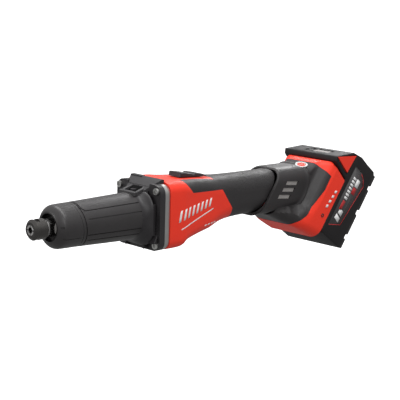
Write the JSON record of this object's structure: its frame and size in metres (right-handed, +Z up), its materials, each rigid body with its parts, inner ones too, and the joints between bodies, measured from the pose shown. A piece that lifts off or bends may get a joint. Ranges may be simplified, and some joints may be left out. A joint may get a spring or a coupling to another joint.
{
  "type": "die grinder",
  "caption": "Cordless straight die grinder with a long rubber-sleeved nose, collet, slide switch, slim grip and a slide-on battery pack leaning at the rear.",
  "frame": {"origin": "on the spindle axis at the front face of the collet nut", "axes": "+X back along the spindle towards the battery, +Z up towards the switch, -Y the tool's left side"},
  "size_m": [0.4502, 0.0792, 0.1067],
  "materials": {
    "bezel_silver": "satin chrome",
    "black_casting": "powder coated",
    "black_nylon": "fine spark-eroded texture",
    "black_steel": "black oxide",
    "board_green": "solder mask",
    "bright_steel": "ground",
    "cast_plate": "cast and blasted",
    "cell_wrap": "plastic sleeve over a metal can",
    "contact_brass": "bright",
    "copper_wire": "enamelled",
    "gauge_window": "frosted",
    "grip_rubber": "soft overmould with small dimples",
    "lamination": "stamped sheets",
    "magnet": "sintered",
    "neck_rubber": "smooth soft sleeve",
    "pale_plastic": "satin",
    "red_nylon": "satin gloss",
    "seal_rubber": "smooth",
    "wire_sleeve": "smooth",
    "zinc_screw": "zinc plated"
  },
  "bodies": {
    "body": {"neck_bearing_outers": "bright_steel", "motor_bearing_outers": "bright_steel", "stator_core": "lamination", "stator_windings": "copper_wire", "sensor_board": "board_green", "rear_bearing_bracket": "black_nylon", "air_baffle": "black_nylon", "neck_housing": "black_casting", "front_seal": "seal_rubber", "nose_cap": "black_nylon", "neck_sleeve": "neck_rubber", "exhaust_shroud": "black_nylon", "flange_screws": "zinc_screw", "adapter_plate": "cast_plate", "housing_left": "red_nylon", "housing_right": "red_nylon", "grip_left": "grip_rubber", "grip_right": "grip_rubber", "housing_screws": "zinc_screw", "head_left": "grip_rubber", "head_right": "grip_rubber", "vent_inserts": "pale_plastic", "foot_band": "red_nylon", "rail_plate": "black_nylon", "terminal_block": "black_nylon", "terminal_blades": "contact_brass", "switch_base": "black_nylon", "controller": "black_nylon", "phase_wires": "wire_sleeve", "battery_leads": "wire_sleeve", "mode_bezel": "bezel_silver", "mode_board": "board_green"},
    "spindle": {"spindle": "bright_steel", "drive_coupling": "cast_plate", "rotor_shaft": "bright_steel", "neck_bearing_inners": "bright_steel", "neck_bearing_balls": "bright_steel", "motor_bearing_inners": "bright_steel", "motor_bearing_balls": "bright_steel", "rotor_core": "lamination", "rotor_magnets": "magnet", "fan": "black_nylon"},
    "collet": {"collet": "bright_steel"},
    "nut": {"collet_nut": "black_steel"},
    "switch": {"switch_knob": "black_nylon", "switch_slider": "pale_plastic"},
    "plunger": {"switch_plunger": "red_nylon"},
    "mode_key": {"mode_button": "red_nylon"},
    "pack": {"pack_case_front": "black_nylon", "pack_case_back": "black_nylon", "pack_bumpers": "grip_rubber", "pack_cells": "cell_wrap", "cell_holder": "pale_plastic", "cell_straps": "bright_steel", "pack_board": "board_green", "pack_terminals": "contact_brass", "gauge_lens": "gauge_window"},
    "latch_left": {"release_left": "red_nylon"},
    "latch_right": {"release_right": "red_nylon"},
    "gauge_key": {"gauge_button": "black_nylon"}
  },
  "joints": [
    {"name": "spindle_spin", "type": "hinge", "parent": "body", "child": "spindle", "pos_m": [0.05, 0, 0], "axis": [-1, 0, 0], "continuous": true},
    {"name": "collet_travel", "type": "slide", "parent": "spindle", "child": "collet", "axis": [-1, 0, 0], "range_m": [0, 0.003]},
    {"name": "nut_turn", "type": "hinge", "parent": "collet", "child": "nut", "pos_m": [0.007, 0, 0], "axis": [-1, 0, 0], "range_deg": [0, 720]},
    {"name": "switch_slide", "type": "slide", "parent": "body", "child": "switch", "axis": [-1, 0, 0], "range_m": [0, 0.0065], "stiffness_N_per_m": 500, "springref_m": -0.002},
    {"name": "plunger_press", "type": "slide", "parent": "body", "child": "plunger", "axis": [-1, 0, 0], "range_m": [0, 0.0026]},
    {"name": "mode_press", "type": "slide", "parent": "body", "child": "mode_key", "axis": [0.1717, 0.2223, -0.9597], "range_m": [0, 0.0008], "stiffness_N_per_m": 800, "springref_m": -0.0005},
    {"name": "pack_slide", "type": "slide", "parent": "body", "child": "pack", "axis": [0.5807, 0, 0.8141], "range_m": [0, 0.075]},
    {"name": "latch_left_press", "type": "slide", "parent": "pack", "child": "latch_left", "axis": [0, 1, 0], "range_m": [0, 0.002], "stiffness_N_per_m": 1000, "springref_m": -0.001},
    {"name": "latch_right_press", "type": "slide", "parent": "pack", "child": "latch_right", "axis": [0, -1, 0], "range_m": [0, 0.002], "stiffness_N_per_m": 1000, "springref_m": -0.001},
    {"name": "gauge_press", "type": "slide", "parent": "pack", "child": "gauge_key", "axis": [0.0552, 0, -0.9985], "range_m": [0, 0.0006], "stiffness_N_per_m": 800, "springref_m": -0.0005}
  ],
  "couplings": [
    {"joint": "nut_turn", "follows": "collet_travel", "rad_per_m": 4188.8},
    {"joint": "plunger_press", "follows": "switch_slide", "ratio": 0.4}
  ]
}
